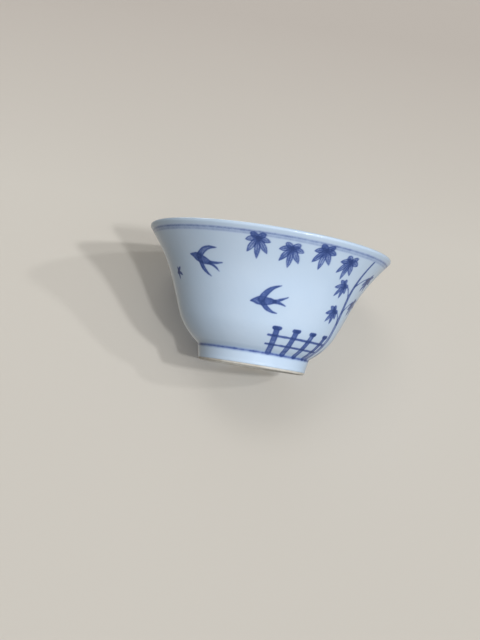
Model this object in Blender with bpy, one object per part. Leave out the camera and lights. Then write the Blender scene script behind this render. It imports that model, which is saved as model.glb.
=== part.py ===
"""A small bell-shaped porcelain teacup with a turned foot ring.

The cup stands upright: +Z is its axis, and the origin is the centre of the
face that it stands on. All sizes are in metres.
"""

import math

import bmesh
import bpy
from mathutils import Vector
from mathutils.geometry import interpolate_bezier

MM = 0.001

# Driving sizes of the cup.
MOUTH_DIAMETER = 88.0 * MM
CUP_HEIGHT = 45.6 * MM
FOOT_DIAMETER = 39.2 * MM
FOOT_TOP_DIAMETER = 40.7 * MM
FOOT_HEIGHT = 5.8 * MM
FOOT_WALL = 3.2 * MM
BELLY_DIAMETER = 57.2 * MM
BELLY_HEIGHT = 15.7 * MM

# Wall and base of the bowl.
LIP_THICKNESS = 1.5 * MM
WALL_THICKNESS = 2.2 * MM
BASE_THICKNESS = 3.0 * MM

# The bare edge under the foot ring, and its rounding.
BARE_EDGE_HEIGHT = 0.7 * MM
BARE_EDGE_SETBACK = 0.25 * MM
EDGE_ROUND = 0.45 * MM

# Slopes of the outer wall, as outward run for each unit of rise.
SLOPE_AT_BELLY = 0.42
SLOPE_AT_LIP = 0.80

# Clearance between neighbouring solids.
SEAM = 0.3 * MM

# Facets.
SEGMENTS = 64
BASE_CURVE_POINTS = 8
WALL_CURVE_POINTS = 9
WELL_CURVE_POINTS = 7
ROUND_POINTS = 4


def clear_scene():
    """Remove everything that the file starts with."""
    for obj in list(bpy.data.objects):
        bpy.data.objects.remove(obj, do_unlink=True)


def make_material(name, colour, roughness):
    """Return a plain non-metallic Principled material."""
    material = bpy.data.materials.new(name)
    material.use_nodes = True
    shader = material.node_tree.nodes["Principled BSDF"]
    shader.inputs["Base Color"].default_value = (*colour, 1.0)
    shader.inputs["Roughness"].default_value = roughness
    shader.inputs["Metallic"].default_value = 0.0
    material.diffuse_color = (*colour, 1.0)
    return material


def bezier(start, start_handle, end_handle, end, count):
    """Return count points on a cubic curve in the radius-height plane."""
    corners = [Vector((r, z, 0.0)) for r, z in (start, start_handle, end_handle, end)]
    curve = interpolate_bezier(*corners, count)
    return [(point.x, point.y) for point in curve]


def arc(centre, radius, start_degrees, end_degrees, count):
    """Return count points on an arc, angles measured from the outward radius."""
    points = []
    for step in range(count):
        share = step / (count - 1)
        angle = math.radians(start_degrees + (end_degrees - start_degrees) * share)
        points.append((centre[0] + radius * math.cos(angle), centre[1] + radius * math.sin(angle)))
    return points


def lip_circle():
    """Return the lip's rounding: centre, radius and the wall's outward normal."""
    radius = LIP_THICKNESS / 2
    centre = (MOUTH_DIAMETER / 2 - radius, CUP_HEIGHT - radius)
    length = math.hypot(SLOPE_AT_LIP, 1.0)
    normal = (1.0 / length, -SLOPE_AT_LIP / length)
    return centre, radius, normal


def outer_wall():
    """Return the outside of the bowl from the foot junction up to the lip."""
    centre, radius, normal = lip_circle()
    junction = (FOOT_TOP_DIAMETER / 2, FOOT_HEIGHT)
    belly = (BELLY_DIAMETER / 2, BELLY_HEIGHT)
    lip = (centre[0] + radius * normal[0], centre[1] + radius * normal[1])

    base_run = belly[0] - junction[0]
    base_rise = belly[1] - junction[1]
    base_curve = bezier(
        junction,
        (junction[0] + 0.38 * base_run, junction[1] + 0.21 * base_rise),
        (belly[0] - SLOPE_AT_BELLY * 0.43 * base_rise, belly[1] - 0.43 * base_rise),
        belly,
        BASE_CURVE_POINTS,
    )

    wall_rise = lip[1] - belly[1]
    wall_curve = bezier(
        belly,
        (belly[0] + SLOPE_AT_BELLY * 0.44 * wall_rise, belly[1] + 0.44 * wall_rise),
        (lip[0] - SLOPE_AT_LIP * 0.44 * wall_rise, lip[1] - 0.44 * wall_rise),
        lip,
        WALL_CURVE_POINTS,
    )
    return base_curve + wall_curve[1:]


def inner_wall(outside):
    """Return the inside of the bowl, lip to well, set in from the outside."""
    points = []
    for index in range(len(outside) - 2, 3, -1):
        radius, height = outside[index]
        before = outside[index - 1]
        after = outside[index + 1]
        run = after[0] - before[0]
        rise = after[1] - before[1]
        length = math.hypot(run, rise)
        share = (height - FOOT_HEIGHT) / (CUP_HEIGHT - FOOT_HEIGHT)
        thickness = WALL_THICKNESS + (LIP_THICKNESS - WALL_THICKNESS) * share
        points.append((radius - thickness * rise / length, height + thickness * run / length))
    return points


def well_floor(start):
    """Return the floor of the well from the inner wall to the axis."""
    floor_height = FOOT_HEIGHT + BASE_THICKNESS
    return bezier(
        start,
        (start[0] * 0.82, floor_height + 0.25 * (start[1] - floor_height)),
        (start[0] * 0.55, floor_height),
        (0.0, floor_height),
        WELL_CURVE_POINTS,
    )


def lathe(name, profile, closed, material):
    """Spin a profile about the axis into one closed body."""
    mesh = bpy.data.meshes.new(name)
    work = bmesh.new()
    verts = [work.verts.new((radius, 0.0, height)) for radius, height in profile]
    edges = [work.edges.new(pair) for pair in zip(verts, verts[1:])]
    if closed:
        edges.append(work.edges.new((verts[-1], verts[0])))
    bmesh.ops.spin(
        work,
        geom=verts + edges,
        cent=(0.0, 0.0, 0.0),
        axis=(0.0, 0.0, 1.0),
        angle=math.tau,
        steps=SEGMENTS,
        use_merge=True,
    )
    bmesh.ops.remove_doubles(work, verts=work.verts, dist=1e-6)
    bmesh.ops.recalc_face_normals(work, faces=work.faces)
    for face in work.faces:
        face.smooth = True
    work.to_mesh(mesh)
    work.free()
    mesh.materials.append(material)
    body = bpy.data.objects.new(name, mesh)
    bpy.context.collection.objects.link(body)
    return body


def make_bowl(glaze):
    """The thrown bowl: base, bell-shaped wall and rounded lip."""
    outside = outer_wall()
    inside = inner_wall(outside)
    well = well_floor(inside[-1])
    centre, radius, normal = lip_circle()
    start = math.degrees(math.atan2(normal[1], normal[0]))
    lip = arc(centre, radius, start, start + 180.0, 2 * ROUND_POINTS - 1)

    profile = [(0.0, FOOT_HEIGHT)]
    profile += outside[:-1]
    profile += lip
    profile += inside
    profile += well[1:]
    return lathe("bowl", profile, False, glaze)


def make_foot_ring(glaze):
    """The turned foot ring under the bowl, glazed down to its bare edge."""
    outer = FOOT_DIAMETER / 2
    outer_top = FOOT_TOP_DIAMETER / 2
    inner = outer - FOOT_WALL
    top = FOOT_HEIGHT - SEAM
    bottom = BARE_EDGE_HEIGHT + SEAM
    profile = [
        (outer - BARE_EDGE_SETBACK, bottom),
        (outer, bottom + 3.0 * BARE_EDGE_SETBACK),
        (outer_top, top),
        (inner - 0.4 * MM, top),
        (inner, top - 0.8 * MM),
        (inner + BARE_EDGE_SETBACK, bottom),
    ]
    return lathe("foot_ring", profile, True, glaze)


def make_foot_rim(biscuit):
    """The bare rounded edge that the cup stands on."""
    outer = FOOT_DIAMETER / 2 - BARE_EDGE_SETBACK
    inner = FOOT_DIAMETER / 2 - FOOT_WALL + BARE_EDGE_SETBACK
    profile = [(outer, BARE_EDGE_HEIGHT), (inner, BARE_EDGE_HEIGHT)]
    profile += arc((inner + EDGE_ROUND, EDGE_ROUND), EDGE_ROUND, 180.0, 270.0, ROUND_POINTS)
    profile += arc((outer - EDGE_ROUND, EDGE_ROUND), EDGE_ROUND, 270.0, 360.0, ROUND_POINTS)
    return lathe("foot_rim", profile, True, biscuit)


def main():
    clear_scene()
    glaze = make_material("glazed_porcelain", (0.56, 0.66, 0.78), 0.12)
    biscuit = make_material("bare_porcelain", (0.55, 0.46, 0.36), 0.75)
    make_bowl(glaze)
    make_foot_ring(glaze)
    make_foot_rim(biscuit)


main()
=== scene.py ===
"""Looks of a small blue-and-white porcelain teacup.

The cup stands upright on the origin with +Z as its axis. Its outside carries
plain garden motifs in cobalt under a clear glaze, the same on both halves:
birds, a tree, leaves, a fence and grass. Painted points are given as (degrees
round the cup, height in millimetres). Zero degrees faces -Y, and the degrees
grow towards +X.
"""

import math

import bpy
import numpy as np
from mathutils import Matrix, Vector


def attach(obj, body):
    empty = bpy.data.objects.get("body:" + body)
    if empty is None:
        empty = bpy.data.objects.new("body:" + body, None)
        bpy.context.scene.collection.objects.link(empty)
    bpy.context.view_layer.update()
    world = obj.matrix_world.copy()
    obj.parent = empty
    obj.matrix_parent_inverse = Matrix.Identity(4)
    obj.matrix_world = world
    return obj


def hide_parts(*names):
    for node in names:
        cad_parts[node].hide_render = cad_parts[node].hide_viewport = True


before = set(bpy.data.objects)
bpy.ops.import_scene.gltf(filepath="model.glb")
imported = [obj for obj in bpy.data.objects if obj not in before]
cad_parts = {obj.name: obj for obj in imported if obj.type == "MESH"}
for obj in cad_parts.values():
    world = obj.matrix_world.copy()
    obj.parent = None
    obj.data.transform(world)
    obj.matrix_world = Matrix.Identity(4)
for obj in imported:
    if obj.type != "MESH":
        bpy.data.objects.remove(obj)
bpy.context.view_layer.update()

MM = 0.001

# Sizes of the cup in millimetres. All but the last two are the CAD model's: its
# bare edge is 0.70 tall, and its base is flat underneath, at FOOT_HEIGHT.
MOUTH_RADIUS = 44.0
CUP_HEIGHT = 45.6
FOOT_RADIUS = 19.6
FOOT_TOP_RADIUS = 20.35
FOOT_HEIGHT = 5.8
FOOT_INNER_RADIUS = 16.4
BELLY_RADIUS = 28.6
BELLY_HEIGHT = 15.7
SLOPE_AT_BELLY = 0.42
SLOPE_AT_LIP = 0.80
LIP_RADIUS = 0.75
WALL_THICKNESS = 2.2
LIP_THICKNESS = 1.5
BASE_THICKNESS = 3.0
BARE_EDGE_HEIGHT = 0.75
CEILING_HEIGHT = 5.5

# Mesh density: fine where the cup is painted, coarse elsewhere.
FINE_COLUMNS = 960
COARSE_COLUMNS = 240
FINE_STEP = 0.25
COARSE_STEP = 0.8
# How far the fired shell strays from round.
UNEVEN_DEPTH = 0.06

# The bare edge: how far it is set in from the foot's two sides, its rounding, how
# far it reaches up into the glazed shell, and its mesh density.
EDGE_OUTER_SET_IN = 0.30
EDGE_INNER_SET_IN = 0.40
EDGE_ROUND = 0.50
EDGE_TUCK = 0.12
EDGE_COLUMNS = 720
EDGE_STEP = 0.12
# Its wear: the noise that wear starts at, its depth, and how high up it reaches.
CHIP_START = 0.35
CHIP_DEPTH = 0.22
CHIP_HEIGHT = 0.6

# Seeds of the random fields, for the painting and for the bare edge.
PAINT_SEED = 7
EDGE_SEED = 11

# Brushwork: points per span of a curve, the least half-width, and how much the
# cobalt varies along a stroke.
CURVE_SPANS = 7
LEAST_HALF_WIDTH = 0.05
FLOW_SHARE = 0.16

# Ring lines: height, half-width, tone and softness.
RING_LINES = (
    (43.10, 0.28, 0.46, 0.55),
    (42.20, 0.22, 0.28, 0.45),
    (42.65, 0.60, 0.17, 0.50),
    (5.25, 0.40, 0.66, 0.58),
)

# A leaf's lobes fan out evenly. A lobe's points are (share of its reach,
# half-width as a share of the leaf's size).
LEAF_FAN = 230.0
LOBE_SHAPE = ((0.0, 0.07), (0.30, 0.15), (0.60, 0.16), (0.82, 0.10), (1.0, 0.02))
# The row of leaves under the rim lines, its spacing in degrees round the cup.
# Every second leaf hangs lower by the drop.
LEAF_ROW_HEIGHT = 41.4
LEAF_ROW_DROP = 1.4
LEAF_SPACING = 16.5
HANGING_LEAF_SIZE = 6.3
# The tree. Its lean, its sway and its branches' reach are degrees round the cup.
TREE_LEAN = -6.0
TREE_SWAY = 1.3
TREE_HEIGHT = 35.6
FIRST_BRANCH = 3
BRANCH_COUNT = 4
BRANCH_REACH = 11.0
BRANCH_RISE = 4.0
BRANCH_LEAF_SIZE = 5.0
# The fence. Its spacing and its rails' overhang are degrees round the cup.
FENCE_SPACING = 15.0
FENCE_HEIGHT = 13.4
RAIL_HEIGHTS = (8.4, 11.4)
RAIL_OVERHANG = 5.0
# Blades of a tuft of grass: how far each leans, in degrees round the cup, and
# its height.
GRASS_BLADES = ((-4.0, 3.8), (-1.4, 5.4), (1.4, 5.0), (4.2, 3.5))

# The garden is painted twice, once from each tree's foot. Its parts are placed in
# degrees from that foot. A bird also has a height, a size and a lean, and the
# small leaf a height, a size and a heading.
TREE_FEET = (66.0, 246.0)
LEAF_ROW_START = -72.0
LEAF_ROW_COUNT = 4
FENCE_START = -52.0
FENCE_POSTS = 4
BIRDS = ((-104.0, 33.0, 1.40, -16.0), (-64.0, 22.0, 1.32, 6.0))
SMALL_LEAF = (-129.0, 29.0, 3.2, -25.0)
SMALL_LEAF_LOBES = 5
GRASS_ROOTS = (12.0, 27.0)

# The faint halo round the cobalt, its reach and spread in cells.
HALO_REACH = 6
HALO_SPREAD = 2.4
HALO_STRENGTH = 0.19

# Layout of the UV map: its margins, the height of each outside strip, and the
# millimetres left free before the inside and before the underside.
UV_MARGIN = 0.006
UV_STRIP = 0.372
UV_INSIDE_GAP = 2.0
UV_UNDERSIDE_GAP = 4.0

# Camera, in millimetres and degrees.
CAMERA_PLACE = (0.0, -380.8, -6.4)
CAMERA_AIM = (-6.6, 0.0, 16.3)
CAMERA_ROLL = 9.1
CAMERA_LENS = 59.1
CAMERA_SENSOR = 36.0
CAMERA_NEAR = 10.0

# Colours, linear.
GLAZE_WHITE = (0.60, 0.715, 0.87)
GLAZE_COOL = (0.56, 0.685, 0.85)
# The glaze's colour in painted shade, in the crease where the foot meets the bowl.
JUNCTION_SHADE_COLOUR = (0.36, 0.49, 0.64)
GLAZE_SPECK = (0.30, 0.30, 0.30)
COBALT_WASH = (0.24, 0.345, 0.66)
COBALT_MID = (0.101, 0.164, 0.435)
COBALT_DARK = (0.031, 0.062, 0.215)
BISCUIT_PALE = (0.64, 0.62, 0.575)
BISCUIT_WARM = (0.52, 0.475, 0.405)
BISCUIT_DIRT = (0.22, 0.18, 0.135)
TABLE_COLOUR = (0.592, 0.549, 0.495)
# The table's colour in painted shade, at its far side.
TABLE_FAR_SHADE_COLOUR = (0.490, 0.440, 0.398)
FLOOR_COLOUR = (0.66, 0.625, 0.585)
# The floor's glow: painted light that brightens it without a lamp.
FLOOR_GLOW = 0.26
AMBIENT_COLOUR = (0.148, 0.142, 0.124)
BACKDROP_COLOUR = (0.565, 0.540, 0.491)

# Depths of the glaze's and the biscuit's bumps, in millimetres.
PEEL_DEPTH = 0.03
PIT_DEPTH = 0.02
GRIT_DEPTH = 0.08

# The leaning table: a point of it, in millimetres, the way it faces, and where
# along it the painted shade of its far side starts and becomes full. Its plane
# meets the cup's lip and foot to about 0.1 mm, and cuts up to 0.7 mm into the
# far side of the belly.
TABLE_TOUCH = (0.0, 19.35, 0.2)
TABLE_FACING = (0.0, -0.8755, 0.4833)
TABLE_DIMMING = (70.0, 190.0)
# Widths of the table and the floor, in metres.
TABLE_SIZE = 4.0
FLOOR_SIZE = 6.0

# Lamps: direction towards the lamp, strength and width in degrees.
LAMP_COLOUR = (0.99, 1.02, 1.04)
LAMPS = (
    ((0.366, -0.929, -0.051), 0.84, 3.0),
    ((0.532, -0.842, 0.089), 0.90, 3.0),
    ((0.680, -0.690, 0.250), 0.40, 3.0),
    ((0.350, -0.900, -0.150), 0.50, 50.0),
    ((-0.200, -0.710, 0.690), 0.36, 28.0),
    ((-0.250, 0.550, 0.800), 0.90, 35.0),
    ((0.050, 0.998, -0.050), 0.80, 50.0),
)
# A lamp with more +Y than this in its direction stands behind the cup. It would
# leave a bright fringe along the outline, so it makes no reflection.
BEHIND_CUP = 0.9
# Bright sides of the room: direction, sharpness and colour.
WORLD_LOBES = (
    ((0.0, -0.8755, 0.4833), 3.0, (0.32, 0.33, 0.34)),
    ((0.0, -0.2, -1.0), 3.0, (0.18, 0.18, 0.19)),
    ((0.0, 1.0, 0.0), 3.0, (0.312, 0.297, 0.268)),
)


# ---------------------------------------------------------------- profile


def bezier(start, start_handle, end_handle, end, count=80):
    """Return points on a cubic curve in the radius-height plane."""
    share = np.linspace(0.0, 1.0, count)[:, None]
    start, start_handle, end_handle, end = map(np.array, (start, start_handle, end_handle, end))
    rest = 1.0 - share
    return (
        rest**3 * start
        + 3.0 * rest**2 * share * start_handle
        + 3.0 * rest * share**2 * end_handle
        + share**3 * end
    )


def arc(centre, radius, start_degrees, end_degrees, count=16):
    """Return points on an arc, angles measured from the outward radius."""
    angles = np.radians(np.linspace(start_degrees, end_degrees, count))
    return np.column_stack((centre[0] + radius * np.cos(angles), centre[1] + radius * np.sin(angles)))


def resample(points, step):
    """Return points at an even step along a polyline, ends kept."""
    points = np.asarray(points, dtype=float)
    lengths = np.hypot(*np.diff(points, axis=0).T)
    keep = np.concatenate(([True], lengths > 1e-6))
    points = points[keep]
    along = np.concatenate(([0.0], np.cumsum(np.hypot(*np.diff(points, axis=0).T))))
    count = max(2, int(round(along[-1] / step)) + 1)
    marks = np.linspace(0.0, along[-1], count)
    return np.column_stack((np.interp(marks, along, points[:, 0]), np.interp(marks, along, points[:, 1])))


def lip_circle():
    """Return the lip's rounding: centre and the angle where the wall meets it."""
    centre = (MOUTH_RADIUS - LIP_RADIUS, CUP_HEIGHT - LIP_RADIUS)
    angle = -math.degrees(math.atan(SLOPE_AT_LIP))
    return centre, angle


def outer_wall():
    """Return the outside of the bowl from the foot junction to the lip."""
    centre, angle = lip_circle()
    junction = (FOOT_TOP_RADIUS, FOOT_HEIGHT)
    belly = (BELLY_RADIUS, BELLY_HEIGHT)
    lip = (
        centre[0] + LIP_RADIUS * math.cos(math.radians(angle)),
        centre[1] + LIP_RADIUS * math.sin(math.radians(angle)),
    )
    run = belly[0] - junction[0]
    rise = belly[1] - junction[1]
    base = bezier(
        junction,
        (junction[0] + 0.38 * run, junction[1] + 0.21 * rise),
        (belly[0] - SLOPE_AT_BELLY * 0.43 * rise, belly[1] - 0.43 * rise),
        belly,
    )
    climb = lip[1] - belly[1]
    wall = bezier(
        belly,
        (belly[0] + SLOPE_AT_BELLY * 0.44 * climb, belly[1] + 0.44 * climb),
        (lip[0] - SLOPE_AT_LIP * 0.44 * climb, lip[1] - 0.44 * climb),
        lip,
        140,
    )
    return np.vstack((base, wall[1:]))


def foot_outside():
    """Return the outside of the foot, from the rolled glaze edge up to the bowl."""
    roll = arc((FOOT_RADIUS - 0.42, BARE_EDGE_HEIGHT + 0.36), 0.36, -90.0, 0.0, 8)
    side = np.array([(FOOT_RADIUS, 1.9), (FOOT_TOP_RADIUS - 0.06, FOOT_HEIGHT - 0.45)])
    return np.vstack((roll, side))


def outside_profile():
    """Return the whole outside in even steps, the glaze edge to the lip's inner side."""
    centre, angle = lip_circle()
    wall = outer_wall()
    start = np.argmax(wall[:, 1] > FOOT_HEIGHT + 0.45)
    foot = foot_outside()
    fillet = bezier(foot[-1], (FOOT_TOP_RADIUS + 0.02, FOOT_HEIGHT - 0.05), wall[start - 1], wall[start], 8)
    lip = arc(centre, LIP_RADIUS, angle, angle + 180.0)
    return resample(np.vstack((foot, fillet[1:-1], wall[start:-1], lip)), FINE_STEP)


def inside_profile():
    """Return the inside, from just under the lip to the middle of the well."""
    wall = outer_wall()
    tangent = np.gradient(wall, axis=0)
    tangent /= np.hypot(tangent[:, 0], tangent[:, 1])[:, None]
    share = (wall[:, 1] - FOOT_HEIGHT) / (CUP_HEIGHT - FOOT_HEIGHT)
    thickness = WALL_THICKNESS + (LIP_THICKNESS - WALL_THICKNESS) * share
    inner = np.column_stack((wall[:, 0] - thickness * tangent[:, 1], wall[:, 1] + thickness * tangent[:, 0]))
    inner = inner[(wall[:, 1] > 13.0) & (wall[:, 1] < CUP_HEIGHT - 2.6)][::-1]
    start = inner[-1]
    floor = FOOT_HEIGHT + BASE_THICKNESS
    well = bezier(
        start,
        (start[0] * 0.86, floor + 0.30 * (start[1] - floor)),
        (start[0] * 0.62, floor),
        (0.0, floor),
    )
    return resample(np.vstack((inner, well[1:])), COARSE_STEP)


def underside_profile():
    """Return the recess under the base, from its middle to the glaze edge."""
    ceiling = bezier(
        (0.0, CEILING_HEIGHT - 0.35),
        (6.0, CEILING_HEIGHT - 0.35),
        (11.0, CEILING_HEIGHT),
        (FOOT_INNER_RADIUS - 1.3, CEILING_HEIGHT),
    )
    corner = arc((FOOT_INNER_RADIUS - 1.0, CEILING_HEIGHT - 1.0), 1.0, 90.0, 0.0)
    side = np.array([
        (FOOT_INNER_RADIUS + 0.15, BARE_EDGE_HEIGHT + 0.5),
        (FOOT_INNER_RADIUS + 0.35, BARE_EDGE_HEIGHT),
    ])
    return resample(np.vstack((ceiling, corner, side)), COARSE_STEP)


# ---------------------------------------------------------------- painting


def smooth_noise(rng, rows, columns, shape):
    """Return a soft random field that joins up round the cup."""
    grid = rng.uniform(-1.0, 1.0, (rows + 1, columns))
    down = np.linspace(0.0, rows, shape[0], endpoint=False)
    across = np.linspace(0.0, columns, shape[1], endpoint=False)
    row = down.astype(int)
    column = across.astype(int)
    fall = (down - row)[:, None]
    side = (across - column)[None, :]
    fall = fall * fall * (3.0 - 2.0 * fall)
    side = side * side * (3.0 - 2.0 * side)
    after = (column + 1) % columns
    top = grid[row][:, column] * (1.0 - side) + grid[row][:, after] * side
    bottom = grid[row + 1][:, column] * (1.0 - side) + grid[row + 1][:, after] * side
    return top * (1.0 - fall) + bottom * fall


class Canvas:
    """The outside of the cup as a grid of cells, with its cobalt so far."""

    def __init__(self, profile):
        self.radius = profile[:, 0]
        self.height = profile[:, 1].copy()
        self.height[np.argmax(self.height) + 1 :] = CUP_HEIGHT
        steps = np.hypot(*np.diff(profile, axis=0).T)
        self.along = np.concatenate(([0.0], np.cumsum(steps)))
        self.step = 360.0 / FINE_COLUMNS
        shape = (len(profile), FINE_COLUMNS)
        self.ink = np.zeros(shape)
        rng = np.random.default_rng(PAINT_SEED)
        self.wobble = 0.7 * smooth_noise(rng, 26, 130, shape) + 0.3 * smooth_noise(rng, 70, 340, shape)
        self.flow = 0.6 * smooth_noise(rng, 12, 60, shape) + 0.4 * smooth_noise(rng, 40, 200, shape)

    def along_at(self, height):
        """Return the distance up the wall at a height."""
        top = np.argmax(self.height)
        return np.interp(height, self.height[: top + 1], self.along[: top + 1])

    def degrees_per_mm(self, height):
        """Return how far round the cup one millimetre reaches at a height."""
        top = np.argmax(self.height)
        return math.degrees(1.0 / np.interp(height, self.height[: top + 1], self.radius[: top + 1]))

    def window(self, points, margin):
        """Return rows, columns and angles of the cells near some points."""
        low, high = points[:, 1].min() - margin, points[:, 1].max() + margin
        rows = np.nonzero((self.along >= low) & (self.along <= high))[0]
        spread = math.degrees(margin / self.radius[rows].min())
        first = math.floor((points[:, 0].min() - spread + 180.0) / self.step)
        last = math.ceil((points[:, 0].max() + spread + 180.0) / self.step)
        columns = np.arange(first, min(last, first + FINE_COLUMNS - 1) + 1)
        return rows, columns % FINE_COLUMNS, columns * self.step - 180.0

    def distance(self, points, widths, rows, angles):
        """Return each cell's distance outside a line of varying half-width."""
        scale = np.radians(1.0) * self.radius[rows][:, None]
        along = self.along[rows][:, None]
        nearest = np.full((len(rows), len(angles)), 1e9)
        for index in range(len(points) - 1):
            start, end = points[index], points[index + 1]
            across = (angles[None, :] - start[0]) * scale
            up = along - start[1]
            run = (end[0] - start[0]) * scale
            rise = end[1] - start[1]
            share = np.clip((across * run + up * rise) / (run * run + rise * rise + 1e-12), 0.0, 1.0)
            gap = np.hypot(across - share * run, up - share * rise)
            gap -= widths[index] + (widths[index + 1] - widths[index]) * share
            np.minimum(nearest, gap, out=nearest)
        return nearest

    def add(self, rows, columns, density):
        """Lay more cobalt over what is there."""
        cells = np.ix_(rows, columns)
        self.ink[cells] = 1.0 - (1.0 - self.ink[cells]) * (1.0 - np.clip(density, 0.0, 1.0))


def curve(points):
    """Return a smooth line through points of any number of values."""
    points = np.asarray(points, dtype=float)
    padded = np.vstack((2.0 * points[0] - points[1], points, 2.0 * points[-1] - points[-2]))
    line = []
    for index in range(len(padded) - 3):
        before, start, end, after = padded[index : index + 4]
        for share in np.linspace(0.0, 1.0, CURVE_SPANS, endpoint=False):
            line.append(
                0.5
                * (
                    2.0 * start
                    + (end - before) * share
                    + (2.0 * before - 5.0 * start + 4.0 * end - after) * share**2
                    + (3.0 * start - before - 3.0 * end + after) * share**3
                )
            )
    line.append(padded[-2])
    return np.array(line)


def soft_edge(gap, softness):
    """Return 1 well inside an edge and 0 well outside it."""
    share = np.clip(0.5 - gap / (2.0 * softness), 0.0, 1.0)
    return share * share * (3.0 - 2.0 * share)


def stroke(canvas, points, tone, softness=0.34, edge=0.0):
    """Paint one brush stroke through (degrees, height, half-width) points.

    edge darkens the stroke's two sides, as pooled cobalt does.
    """
    line = curve(points)
    line[:, 2] = np.clip(line[:, 2], LEAST_HALF_WIDTH, None)
    line[:, 1] = canvas.along_at(line[:, 1])
    margin = line[:, 2].max() + 1.0
    rows, columns, angles = canvas.window(line, margin)
    gap = canvas.distance(line[:, :2], line[:, 2], rows, angles)
    cells = np.ix_(rows, columns)
    gap = gap + 0.09 * canvas.wobble[cells]
    density = tone * (1.0 + FLOW_SHARE * canvas.flow[cells]) * soft_edge(gap, softness)
    if edge:
        density = density + edge * soft_edge(np.abs(gap + 0.16) - 0.10, softness)
    canvas.add(rows, columns, density)


def ring_line(canvas, height, half_width, tone, softness):
    """Paint a line right round the cup."""
    gap = np.abs(canvas.along - canvas.along_at(height))[:, None] - half_width
    density = tone * (1.0 + FLOW_SHARE * canvas.flow) * soft_edge(gap + 0.05 * canvas.wobble, softness)
    canvas.ink = 1.0 - (1.0 - canvas.ink) * (1.0 - density)


def placed(canvas, shape, centre, lean, size=1.0):
    """Return a motif's own (across, up, half-width) points set down on the cup.

    centre is (degrees, height). lean turns the motif, and size scales it.
    """
    cosine = math.cos(math.radians(lean))
    sine = math.sin(math.radians(lean))
    spread = canvas.degrees_per_mm(centre[1])
    points = []
    for across, up, half_width in shape:
        sideways = size * (across * cosine - up * sine)
        upwards = size * (across * sine + up * cosine)
        points.append((centre[0] + sideways * spread, centre[1] + upwards, size * half_width))
    return points


def palmate_leaf(canvas, centre, size, heading, lobes=7):
    """A plain palmate leaf: lobes fanned evenly, the middle one longest."""
    for index in range(lobes):
        swing = LEAF_FAN * (index / (lobes - 1) - 0.5)
        reach = size * (0.60 + 0.40 * math.cos(math.radians(swing)))
        lobe = [(share * reach, 0.0, wide * size) for share, wide in LOBE_SHAPE]
        stroke(canvas, placed(canvas, lobe, centre, heading + swing), 0.44, softness=0.28, edge=0.40)
        vein = [(0.0, 0.0, 0.16), (0.5 * reach, 0.0, 0.12), (0.85 * reach, 0.0, 0.05)]
        stroke(canvas, placed(canvas, vein, centre, heading + swing), 0.50, softness=0.2)


def bird(canvas, centre, size, lean):
    """A plain small bird in flight to the left: body, two wings, forked tail."""
    body = [(-3.6, 0.0, 0.14), (-2.8, 0.1, 0.50), (-1.2, 0.1, 1.10), (0.8, 0.0, 0.95), (2.6, 0.0, 0.44)]
    raised_wing = [(-0.9, 0.4, 0.80), (0.2, 2.0, 0.72), (1.8, 3.3, 0.46), (3.8, 4.0, 0.10)]
    lowered_wing = [(-0.6, -0.3, 0.62), (0.5, -1.6, 0.54), (1.9, -2.5, 0.34), (3.4, -2.9, 0.08)]
    upper_fork = [(2.4, 0.1, 0.34), (4.0, 0.5, 0.30), (5.8, 1.2, 0.08)]
    lower_fork = [(2.4, -0.1, 0.34), (4.0, -0.4, 0.28), (5.4, -1.0, 0.08)]
    for part in (lowered_wing, upper_fork, lower_fork, body, raised_wing):
        stroke(canvas, placed(canvas, part, centre, lean, size), 0.58, edge=0.45)


def tree(canvas, foot):
    """A slim tree: a tapering trunk, then branches to either side, each with a leaf."""
    trunk = []
    for share in np.linspace(0.0, 1.0, 9):
        sway = TREE_LEAN * share + TREE_SWAY * math.sin(2.0 * math.pi * share)
        trunk.append((foot + sway, FOOT_HEIGHT + 0.2 + TREE_HEIGHT * share, 1.15 - 0.70 * share))
    stroke(canvas, trunk, 0.46, edge=0.50)
    for index in range(BRANCH_COUNT):
        side = -1.0 if index % 2 == 0 else 1.0
        start = trunk[FIRST_BRANCH + index]
        end = (start[0] + side * BRANCH_REACH, start[1] + BRANCH_RISE)
        bend = (start[0] + side * 6.0, start[1] + 3.2, 0.28)
        stroke(canvas, [(start[0], start[1], 0.34), bend, (*end, 0.20)], 0.62)
        palmate_leaf(canvas, end, BRANCH_LEAF_SIZE, -90.0 + side * 35.0)


def leaf_row(canvas, first, count):
    """Leaves of one size that hang from the rim lines at equal spacing."""
    for index in range(count):
        drop = LEAF_ROW_DROP if index % 2 else 0.0
        centre = (first + LEAF_SPACING * index, LEAF_ROW_HEIGHT - drop)
        palmate_leaf(canvas, centre, HANGING_LEAF_SIZE, -90.0)


def fence(canvas, first, posts):
    """A plain low fence: equal posts with caps, and two level rails."""
    last = first + FENCE_SPACING * (posts - 1)
    angles = np.linspace(first - RAIL_OVERHANG, last + RAIL_OVERHANG, 4 * posts)
    for height in RAIL_HEIGHTS:
        rail = [(angle, height, 0.42) for angle in angles]
        stroke(canvas, rail, 0.52, edge=0.42)
    half_cap = canvas.degrees_per_mm(FENCE_HEIGHT)
    cap_height = FENCE_HEIGHT + 0.6
    for index in range(posts):
        angle = first + FENCE_SPACING * index
        stroke(canvas, [(angle, FOOT_HEIGHT, 1.0), (angle, FENCE_HEIGHT, 1.0)], 0.56, edge=0.42)
        cap = [(angle - half_cap, cap_height, 0.65), (angle + half_cap, cap_height, 0.65)]
        stroke(canvas, cap, 0.74, edge=0.30)


def grass(canvas, root):
    """Short blades of grass that fan from one point on the ground line."""
    for lean, tall in GRASS_BLADES:
        blade = [
            (root, FOOT_HEIGHT, 0.22),
            (root + 0.45 * lean, FOOT_HEIGHT + 0.6 * tall, 0.20),
            (root + lean, FOOT_HEIGHT + tall, 0.08),
        ]
        stroke(canvas, blade, 0.62)


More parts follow.
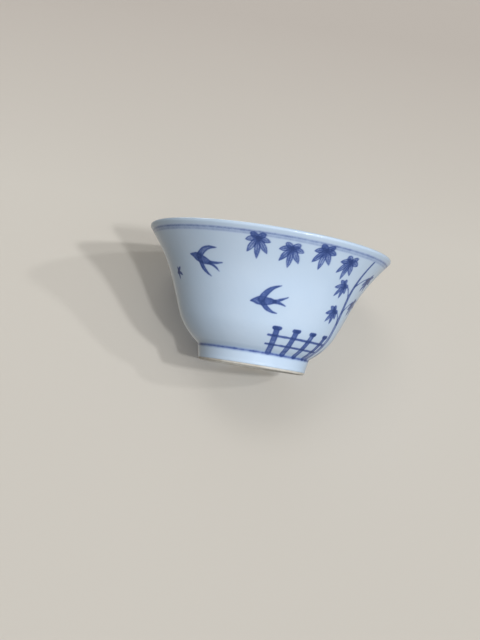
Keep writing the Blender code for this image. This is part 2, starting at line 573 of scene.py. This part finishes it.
def garden(canvas, foot):
    """One half of the decoration, laid out from the foot of its tree."""
    leaf_row(canvas, foot + LEAF_ROW_START, LEAF_ROW_COUNT)
    tree(canvas, foot)
    fence(canvas, foot + FENCE_START, FENCE_POSTS)
    for turn, height, size, lean in BIRDS:
        bird(canvas, (foot + turn, height), size, lean)
    turn, height, size, heading = SMALL_LEAF
    palmate_leaf(canvas, (foot + turn, height), size, heading, SMALL_LEAF_LOBES)
    for turn in GRASS_ROOTS:
        grass(canvas, foot + turn)


def paint_cup(canvas):
    """Paint the ring lines, the garden twice round, and the cobalt's faint halo."""
    for height, half_width, tone, softness in RING_LINES:
        ring_line(canvas, height, half_width, tone, softness)
    for foot in TREE_FEET:
        garden(canvas, foot)

    shifts = range(-HALO_REACH, HALO_REACH + 1)
    kernel = np.exp(-0.5 * (np.array(shifts) / HALO_SPREAD) ** 2)
    kernel /= kernel.sum()
    halo = sum(w * np.roll(canvas.ink, k, axis=1) for k, w in zip(shifts, kernel))
    padded = np.pad(halo, ((HALO_REACH, HALO_REACH), (0, 0)), mode="edge")
    halo = sum(w * padded[HALO_REACH + k : HALO_REACH + k + len(halo)] for k, w in zip(shifts, kernel))
    canvas.ink = canvas.ink + HALO_STRENGTH * halo * (1.0 - canvas.ink)


# ---------------------------------------------------------------- meshes


def ring_points(profile, columns):
    """Return the points of every ring of a lathe, one row of points per ring."""
    turn = np.radians(np.arange(columns) * 360.0 / columns - 180.0)
    radius = profile[:, 0][:, None]
    across = radius * np.sin(turn)[None, :]
    ahead = -radius * np.cos(turn)[None, :]
    height = np.repeat(profile[:, 1][:, None], columns, axis=1)
    return np.stack((across, ahead, height), axis=2) * MM


def grid_faces(first, rings, columns):
    """Return the quads between neighbouring rings, wound to face outwards."""
    ring = np.arange(rings - 1)[:, None] * columns
    column = np.arange(columns)[None, :]
    after = (column + 1) % columns
    corners = (ring + column, ring + after, ring + columns + after, ring + columns + column)
    return np.stack([first + corner for corner in corners], axis=2).reshape(-1, 4)


def bridge_faces(fine_first, coarse_first, fine_on_lower_side):
    """Return faces that join a fine ring to a coarse one."""
    ratio = FINE_COLUMNS // COARSE_COLUMNS
    faces = []
    for column in range(COARSE_COLUMNS):
        fine = [fine_first + (column * ratio + k) % FINE_COLUMNS for k in range(ratio + 1)]
        start = coarse_first + column
        end = coarse_first + (column + 1) % COARSE_COLUMNS
        if fine_on_lower_side:
            faces.append((*fine, end, start))
        else:
            faces.append((start, end, *fine[::-1]))
    return faces


def pole_faces(ring_first, pole, closes_upper_end):
    """Return the triangles that close a coarse ring on the axis."""
    faces = []
    for column in range(COARSE_COLUMNS):
        start = ring_first + column
        end = ring_first + (column + 1) % COARSE_COLUMNS
        faces.append((start, end, pole) if closes_upper_end else (end, start, pole))
    return faces


def finish_mesh(name, points, faces, material):
    """Make a smooth-shaded object from points and faces."""
    mesh = bpy.data.meshes.new(name)
    mesh.from_pydata([tuple(point) for point in points], [], faces)
    mesh.polygons.foreach_set("use_smooth", [True] * len(mesh.polygons))
    mesh.materials.append(material)
    mesh.validate()
    piece = bpy.data.objects.new(name, mesh)
    bpy.context.collection.objects.link(piece)
    return piece


def uneven(points, depth):
    """Shift points by a slow ripple, as a hand-turned and fired cup has."""
    x, y, z = points[:, 0] / MM, points[:, 1] / MM, points[:, 2] / MM
    turn = np.arctan2(x, -y)
    ripple = np.sin(2.0 * turn + 0.6) * 0.5 + np.sin(5.0 * turn + 0.21 * z) * 0.3
    ripple = ripple + np.sin(0.55 * z + 1.7 * np.sin(turn)) * 0.35 + np.sin(9.0 * turn - 0.33 * z) * 0.12
    radius = np.hypot(x, y)
    share = depth * ripple * np.clip(radius / 20.0, 0.0, 1.0) / np.maximum(radius, 1.0)
    moved_points = points.copy()
    moved_points[:, 0] += points[:, 0] * share
    moved_points[:, 1] += points[:, 1] * share
    return moved_points


def strip_uv(mesh, outside_rings, along, total):
    """Unroll the outside in two strips and the rest in a third, above them."""
    layer = mesh.uv_layers.new(name="OFBake")
    count = len(mesh.loops)
    vertex = np.empty(count, dtype=np.int64)
    mesh.loops.foreach_get("vertex_index", vertex)
    loop_start = np.empty(len(mesh.polygons), dtype=np.int64)
    loop_total = np.empty(len(mesh.polygons), dtype=np.int64)
    mesh.polygons.foreach_get("loop_start", loop_start)
    mesh.polygons.foreach_get("loop_total", loop_total)
    owner = np.repeat(np.arange(len(mesh.polygons)), loop_total)

    place = np.empty(len(mesh.vertices) * 3)
    mesh.vertices.foreach_get("co", place)
    place = place.reshape(-1, 3)
    turn = np.degrees(np.arctan2(place[:, 0], -place[:, 1]))
    loop_turn = turn[vertex]
    on_axis = np.hypot(place[:, 0], place[:, 1])[vertex] < 1e-7

    sine = np.add.reduceat(np.where(on_axis, 0.0, np.sin(np.radians(loop_turn))), loop_start)
    cosine = np.add.reduceat(np.where(on_axis, 0.0, np.cos(np.radians(loop_turn))), loop_start)
    middle = np.degrees(np.arctan2(sine, cosine))
    loop_middle = middle[owner]
    loop_turn = np.where(on_axis, loop_middle, loop_turn)
    loop_turn = loop_middle + (loop_turn - loop_middle + 180.0) % 360.0 - 180.0

    fine_count = outside_rings * FINE_COLUMNS
    is_fine = np.logical_and.reduceat(vertex < fine_count, loop_start)[owner]
    front = np.abs(loop_middle) < 90.0
    back_turn = np.where(loop_middle < 0.0, loop_turn + 360.0, loop_turn) - 180.0
    outside_turn = np.where(front, loop_turn, back_turn)
    loop_along = along[vertex]
    width = 1.0 - 2.0 * UV_MARGIN
    across = 0.5 + width * np.where(is_fine, outside_turn / 180.0, loop_turn / 360.0)
    share = loop_along / total[0]
    rest = (loop_along - total[0]) / (total[1] - total[0])
    up_outside = np.where(front, UV_MARGIN, UV_STRIP + 2.0 * UV_MARGIN) + share * UV_STRIP
    last = 2.0 * UV_STRIP + 3.0 * UV_MARGIN
    up_rest = last + rest * (1.0 - UV_MARGIN - last)
    uv = np.empty(count * 2)
    uv[0::2] = across
    uv[1::2] = np.where(is_fine, up_outside, up_rest)
    layer.data.foreach_set("uv", uv)


def make_cup(material):
    """Make the glazed cup as one closed shell with its cobalt as an attribute."""
    outside = outside_profile()
    inside = inside_profile()[:-1]
    underside = underside_profile()[1:]

    canvas = Canvas(outside)
    paint_cup(canvas)

    rings = [ring_points(outside, FINE_COLUMNS).reshape(-1, 3)]
    rings.append(ring_points(inside, COARSE_COLUMNS).reshape(-1, 3))
    rings.append(ring_points(underside, COARSE_COLUMNS).reshape(-1, 3))
    inside_first = len(rings[0])
    underside_first = inside_first + len(rings[1])
    poles_first = underside_first + len(rings[2])
    poles = np.array([(0.0, 0.0, FOOT_HEIGHT + BASE_THICKNESS), (0.0, 0.0, CEILING_HEIGHT - 0.35)]) * MM
    points = np.vstack(rings + [poles])

    inside_last = underside_first - COARSE_COLUMNS
    underside_last = poles_first - COARSE_COLUMNS
    faces = grid_faces(0, len(outside), FINE_COLUMNS).tolist()
    faces += bridge_faces(inside_first - FINE_COLUMNS, inside_first, True)
    faces += grid_faces(inside_first, len(inside), COARSE_COLUMNS).tolist()
    faces += pole_faces(inside_last, poles_first, True)
    faces += pole_faces(underside_first, poles_first + 1, False)
    faces += grid_faces(underside_first, len(underside), COARSE_COLUMNS).tolist()
    faces += bridge_faces(0, underside_last, False)

    piece = finish_mesh("cup_body", uneven(points, UNEVEN_DEPTH), faces, material)

    cobalt = np.zeros(len(points), dtype=np.float32)
    cobalt[:inside_first] = canvas.ink.ravel()
    layer = piece.data.attributes.new("cobalt", "FLOAT", "POINT")
    layer.data.foreach_set("value", cobalt)

    along = [np.repeat(canvas.along, FINE_COLUMNS)]
    reach = canvas.along[-1]
    for profile, gap in ((inside, UV_INSIDE_GAP), (underside, UV_UNDERSIDE_GAP)):
        steps = np.hypot(*np.diff(profile, axis=0).T)
        marks = reach + gap + np.concatenate(([0.0], np.cumsum(steps)))
        along.append(np.repeat(marks, COARSE_COLUMNS))
        reach = marks[-1]
    inside_end = along[1][-1] + COARSE_STEP
    underside_start = along[2][0] - COARSE_STEP
    along.append(np.array([inside_end, underside_start]))
    strip_uv(piece.data, len(outside), np.concatenate(along), (canvas.along[-1], reach + 1.0))
    return piece


def make_bare_edge(material):
    """Make the unglazed edge of the foot, slightly worn and uneven."""
    outer = FOOT_RADIUS - EDGE_OUTER_SET_IN
    inner = FOOT_INNER_RADIUS + EDGE_INNER_SET_IN
    top = BARE_EDGE_HEIGHT + EDGE_TUCK
    profile = np.vstack((
        [(inner, top), (inner, EDGE_ROUND + 0.05)],
        arc((inner + EDGE_ROUND, EDGE_ROUND), EDGE_ROUND, 180.0, 270.0, 8)[1:],
        arc((outer - EDGE_ROUND, EDGE_ROUND), EDGE_ROUND, -90.0, 0.0, 8),
        [(outer, top), (inner + 0.2, top)],
    ))
    profile = resample(profile, EDGE_STEP)[:-1]
    points = ring_points(profile, EDGE_COLUMNS)
    rng = np.random.default_rng(EDGE_SEED)
    shape = (len(profile), EDGE_COLUMNS)
    chips = smooth_noise(rng, 10, 240, shape) * 0.5 + smooth_noise(rng, 5, 70, shape) * 0.5
    lift = np.clip(chips - CHIP_START, 0.0, None) * CHIP_DEPTH * MM
    low = np.clip(1.0 - profile[:, 1] / CHIP_HEIGHT, 0.0, 1.0)[:, None]
    points[:, :, 2] += lift * low
    flat = points.reshape(-1, 3)
    faces = grid_faces(0, len(profile), EDGE_COLUMNS).tolist()
    last = (len(profile) - 1) * EDGE_COLUMNS
    for column in range(EDGE_COLUMNS):
        after = (column + 1) % EDGE_COLUMNS
        faces.append((last + column, last + after, after, column))
    return finish_mesh("foot_bare_edge", flat, faces, material)


# ---------------------------------------------------------------- materials


def new_material(name):
    """Return a material's nodes and links with its principled shader."""
    material = bpy.data.materials.new(name)
    material.use_nodes = True
    nodes = material.node_tree.nodes
    links = material.node_tree.links
    return material, nodes, links, nodes["Principled BSDF"]


def add_noise(nodes, links, coordinates, scale, detail, roughness):
    """Add a noise texture in object space, scale in cells per metre."""
    noise = nodes.new("ShaderNodeTexNoise")
    noise.inputs["Scale"].default_value = scale
    noise.inputs["Detail"].default_value = detail
    noise.inputs["Roughness"].default_value = roughness
    links.new(coordinates, noise.inputs["Vector"])
    return noise.outputs["Fac"]


def map_range(nodes, links, value, source, target):
    """Map a value's range onto another."""
    node = nodes.new("ShaderNodeMapRange")
    node.inputs["From Min"].default_value = source[0]
    node.inputs["From Max"].default_value = source[1]
    node.inputs["To Min"].default_value = target[0]
    node.inputs["To Max"].default_value = target[1]
    links.new(value, node.inputs["Value"])
    return node.outputs["Result"]


def math_node(nodes, links, operation, first, second):
    """Combine two values."""
    node = nodes.new("ShaderNodeMath")
    node.operation = operation
    for socket, value in zip(node.inputs, (first, second)):
        if isinstance(value, (int, float)):
            socket.default_value = value
        else:
            links.new(value, socket)
    return node.outputs["Value"]


def mix_colour(nodes, links, share, first, second):
    """Mix two colours, each a socket or three numbers, by a share from a socket."""
    node = nodes.new("ShaderNodeMix")
    node.data_type = "RGBA"
    node.clamp_factor = True
    links.new(share, node.inputs["Factor"])
    for socket, value in zip((node.inputs[6], node.inputs[7]), (first, second)):
        if isinstance(value, tuple):
            socket.default_value = (*value, 1.0)
        else:
            links.new(value, socket)
    return node.outputs[2]


def add_colours(nodes, links, first, second):
    """Add two colours without clamping."""
    node = nodes.new("ShaderNodeVectorMath")
    node.operation = "ADD"
    for socket, value in zip(node.inputs, (first, second)):
        if isinstance(value, tuple):
            socket.default_value = value
        else:
            links.new(value, socket)
    return node.outputs["Vector"]


def colour_ramp(nodes, links, value, stops):
    """Turn a value into a colour through stops of (position, colour)."""
    node = nodes.new("ShaderNodeValToRGB")
    ramp = node.color_ramp
    while len(ramp.elements) < len(stops):
        ramp.elements.new(0.5)
    for element, (position, colour) in zip(ramp.elements, stops):
        element.position = position
        element.color = (*colour, 1.0)
    links.new(value, node.inputs["Fac"])
    return node.outputs["Color"]


def add_bump(nodes, links, height, distance, normal=None):
    """Add a bump of a depth in metres."""
    bump = nodes.new("ShaderNodeBump")
    bump.inputs["Distance"].default_value = distance
    bump.inputs["Strength"].default_value = 1.0
    links.new(height, bump.inputs["Height"])
    if normal is not None:
        links.new(normal, bump.inputs["Normal"])
    return bump.outputs["Normal"]


def make_glaze():
    """Clear bluish glaze over white porcelain with cobalt under it."""
    material, nodes, links, shader = new_material("blue_and_white_glaze")
    place = nodes.new("ShaderNodeTexCoord").outputs["Object"]
    cobalt = nodes.new("ShaderNodeAttribute")
    cobalt.attribute_name = "cobalt"

    grain = add_noise(nodes, links, place, 2600.0, 2.0, 0.6)
    pooling = add_noise(nodes, links, place, 620.0, 3.0, 0.55)
    strength = map_range(nodes, links, grain, (0.3, 0.7), (0.90, 1.10))
    depth = map_range(nodes, links, pooling, (0.3, 0.7), (0.84, 1.16))
    density = math_node(nodes, links, "MULTIPLY", cobalt.outputs["Fac"], strength)
    density = math_node(nodes, links, "MULTIPLY", density, depth)

    cloud = add_noise(nodes, links, place, 70.0, 3.0, 0.5)
    speck = add_noise(nodes, links, place, 5200.0, 1.0, 0.5)
    cool = map_range(nodes, links, cloud, (0.3, 0.7), (0.0, 1.0))
    white = mix_colour(nodes, links, cool, GLAZE_WHITE, GLAZE_COOL)
    # Painted shade: the glaze darkens within 1.6 mm of the crease where the foot meets the bowl.
    split = nodes.new("ShaderNodeSeparateXYZ")
    links.new(place, split.inputs["Vector"])
    above = math_node(nodes, links, "SUBTRACT", split.outputs["Z"], FOOT_HEIGHT * MM)
    from_foot = math_node(nodes, links, "ABSOLUTE", above, 0.0)
    junction_shade = map_range(nodes, links, from_foot, (0.0, 1.6 * MM), (0.55, 0.0))
    white = mix_colour(nodes, links, junction_shade, white, JUNCTION_SHADE_COLOUR)
    dots = map_range(nodes, links, speck, (0.735, 0.775), (0.0, 0.22))
    white = mix_colour(nodes, links, dots, white, GLAZE_SPECK)

    cobalt_colour = colour_ramp(
        nodes, links, density,
        [(0.0, COBALT_WASH), (0.45, COBALT_MID), (0.95, COBALT_DARK)],
    )
    cover = map_range(nodes, links, density, (0.0, 0.62), (0.0, 1.0))
    colour = mix_colour(nodes, links, cover, white, cobalt_colour)
    links.new(colour, shader.inputs["Base Color"])

    haze = add_noise(nodes, links, place, 180.0, 3.0, 0.6)
    links.new(map_range(nodes, links, haze, (0.3, 0.7), (0.10, 0.17)), shader.inputs["Roughness"])
    peel = add_noise(nodes, links, place, 420.0, 2.0, 0.5)
    pits = map_range(nodes, links, speck, (0.70, 0.80), (0.0, -1.0))
    skin = add_bump(nodes, links, peel, PEEL_DEPTH * MM)
    skin = add_bump(nodes, links, pits, PIT_DEPTH * MM, normal=skin)
    links.new(skin, shader.inputs["Normal"])
    shader.inputs["IOR"].default_value = 1.5
    return material


def make_biscuit():
    """Bare fired porcelain: matt, warm where the kiln browned it."""
    material, nodes, links, shader = new_material("bare_biscuit")
    place = nodes.new("ShaderNodeTexCoord").outputs["Object"]
    patches = add_noise(nodes, links, place, 210.0, 4.0, 0.6)
    grit = add_noise(nodes, links, place, 2400.0, 3.0, 0.7)
    warm = map_range(nodes, links, patches, (0.35, 0.65), (0.0, 1.0))
    colour = mix_colour(nodes, links, warm, BISCUIT_PALE, BISCUIT_WARM)
    dirt = map_range(nodes, links, grit, (0.58, 0.75), (0.0, 0.6))
    colour = mix_colour(nodes, links, dirt, colour, BISCUIT_DIRT)
    links.new(colour, shader.inputs["Base Color"])
    links.new(map_range(nodes, links, grit, (0.3, 0.7), (0.62, 0.88)), shader.inputs["Roughness"])
    links.new(add_bump(nodes, links, grit, GRIT_DEPTH * MM), shader.inputs["Normal"])
    return material


def make_stage_material(name, colour, glow=0.0):
    """A plain matt surface that is solid from its front and clear from its back. Its glow, where given, is
    painted light.
    """
    material, nodes, links, shader = new_material(name)
    shader.inputs["Base Color"].default_value = (*colour, 1.0)
    shader.inputs["Roughness"].default_value = 1.0
    shader.inputs["Specular IOR Level"].default_value = 0.0
    shader.inputs["Emission Color"].default_value = (*colour, 1.0)
    shader.inputs["Emission Strength"].default_value = glow
    side = nodes.new("ShaderNodeNewGeometry").outputs["Backfacing"]
    clear = nodes.new("ShaderNodeBsdfTransparent").outputs["BSDF"]
    mix = nodes.new("ShaderNodeMixShader")
    links.new(side, mix.inputs["Fac"])
    links.new(shader.outputs["BSDF"], mix.inputs[1])
    links.new(clear, mix.inputs[2])
    links.new(mix.outputs["Shader"], nodes["Material Output"].inputs["Surface"])
    return material, nodes, links, shader


def make_table():
    """The pale table, with painted shade: a little darker and warmer towards its far side."""
    material, nodes, links, shader = make_stage_material("table_surface", TABLE_COLOUR)
    split = nodes.new("ShaderNodeSeparateXYZ")
    links.new(nodes.new("ShaderNodeTexCoord").outputs["Object"], split.inputs["Vector"])
    near, far = TABLE_DIMMING
    far_shade = map_range(nodes, links, split.outputs["Y"], (near * MM, far * MM), (0.0, 1.0))
    colour = mix_colour(nodes, links, far_shade, TABLE_COLOUR, TABLE_FAR_SHADE_COLOUR)
    links.new(colour, shader.inputs["Base Color"])
    return material


# ---------------------------------------------------------------- stage


def stage_plane(name, origin, normal, size, material):
    """Add a large plane that faces along a normal.

    It throws no shade or colour on the cup, and the glaze doesn't mirror it.
    """
    mesh = bpy.data.meshes.new(name)
    half = size / 2.0
    square = [(-half, -half, 0.0), (half, -half, 0.0), (half, half, 0.0), (-half, half, 0.0)]
    mesh.from_pydata(square, [], [(0, 1, 2, 3)])
    mesh.materials.append(material)
    plane = bpy.data.objects.new(name, mesh)
    bpy.context.collection.objects.link(plane)
    turn = Vector((0.0, 0.0, 1.0)).rotation_difference(Vector(normal))
    plane.matrix_world = Matrix.Translation(Vector(origin)) @ turn.to_matrix().to_4x4()
    plane.visible_shadow = False
    plane.visible_diffuse = False
    plane.visible_glossy = False


def add_sun(name, toward, strength, colour, spread):
    """Add a far lamp that shines from a direction, its width given in degrees."""
    lamp = bpy.data.lights.new(name, "SUN")
    lamp.energy = strength
    lamp.color = colour
    lamp.angle = math.radians(spread)
    holder = bpy.data.objects.new(name, lamp)
    bpy.context.collection.objects.link(holder)
    holder.rotation_mode = "QUATERNION"
    holder.rotation_quaternion = Vector(toward).to_track_quat("Z", "Y")
    return holder


def set_world(ambient, lobes, backdrop):
    """Light the scene from a plain room with broad bright sides.

    Each lobe is a direction, a sharpness and a colour. The camera sees an even
    backdrop instead.
    """
    world = bpy.data.worlds.new("studio")
    bpy.context.scene.world = world
    world.use_nodes = True
    nodes = world.node_tree.nodes
    links = world.node_tree.links
    nodes.clear()
    light = nodes.new("ShaderNodeBackground")
    seen = nodes.new("ShaderNodeBackground")
    seen.inputs["Color"].default_value = (*backdrop, 1.0)
    ray = nodes.new("ShaderNodeTexCoord").outputs["Generated"]
    colour = ambient
    for direction, sharpness, tint in lobes:
        dot = nodes.new("ShaderNodeVectorMath")
        dot.operation = "DOT_PRODUCT"
        links.new(ray, dot.inputs[0])
        dot.inputs[1].default_value = Vector(direction).normalized()
        facing = math_node(nodes, links, "MAXIMUM", dot.outputs["Value"], 0.0)
        share = math_node(nodes, links, "POWER", facing, sharpness)
        colour = mix_colour(nodes, links, share, colour, add_colours(nodes, links, colour, tint))
    links.new(colour, light.inputs["Color"])
    path = nodes.new("ShaderNodeLightPath")
    mix = nodes.new("ShaderNodeMixShader")
    output = nodes.new("ShaderNodeOutputWorld")
    links.new(path.outputs["Is Camera Ray"], mix.inputs["Fac"])
    links.new(light.outputs["Background"], mix.inputs[1])
    links.new(seen.outputs["Background"], mix.inputs[2])
    links.new(mix.outputs["Shader"], output.inputs["Surface"])


def add_camera():
    """Place the camera by where it stands, what it aims at and its roll."""
    place = Vector(CAMERA_PLACE) * MM
    forward = (Vector(CAMERA_AIM) * MM - place).normalized()
    level = forward.cross(Vector((0.0, 0.0, 1.0))).normalized()
    upright = level.cross(forward)
    roll = math.radians(CAMERA_ROLL)
    right = level * math.cos(roll) + upright * math.sin(roll)
    up = upright * math.cos(roll) - level * math.sin(roll)
    data = bpy.data.cameras.new("camera")
    data.lens = CAMERA_LENS
    data.sensor_width = CAMERA_SENSOR
    data.clip_start = CAMERA_NEAR * MM
    camera = bpy.data.objects.new("camera", data)
    bpy.context.collection.objects.link(camera)
    turn = Matrix((right, up, -forward)).transposed()
    camera.matrix_world = Matrix.Translation(place) @ turn.to_4x4()
    bpy.context.scene.camera = camera


def add_stage():
    """Add the floor, the leaning table behind the cup, the lamps and the world."""
    table = make_table()
    floor = make_stage_material("floor_surface", FLOOR_COLOUR, FLOOR_GLOW)[0]
    touch = Vector(TABLE_TOUCH) * MM
    stage_plane("table", touch, TABLE_FACING, TABLE_SIZE, table)
    stage_plane("floor", (0.0, 0.0, 0.0), (0.0, 0.0, 1.0), FLOOR_SIZE, floor)
    for index, (toward, strength, spread) in enumerate(LAMPS):
        lamp = add_sun(f"lamp_{index + 1}", toward, strength, LAMP_COLOUR, spread)
        lamp.visible_glossy = toward[1] < BEHIND_CUP
    set_world(AMBIENT_COLOUR, WORLD_LOBES, BACKDROP_COLOUR)
    bpy.context.scene.view_settings.view_transform = "Standard"
    bpy.context.scene.view_settings.look = "None"


def corners(box):
    """Return a bounding box as plain lists."""
    return [list(corner) for corner in box]


cup = make_cup(make_glaze())
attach(cup, "root")
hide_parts("bowl", "foot_ring")
bare_edge = make_bare_edge(make_biscuit())
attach(bare_edge, "root")
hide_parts("foot_rim")

add_stage()
add_camera()
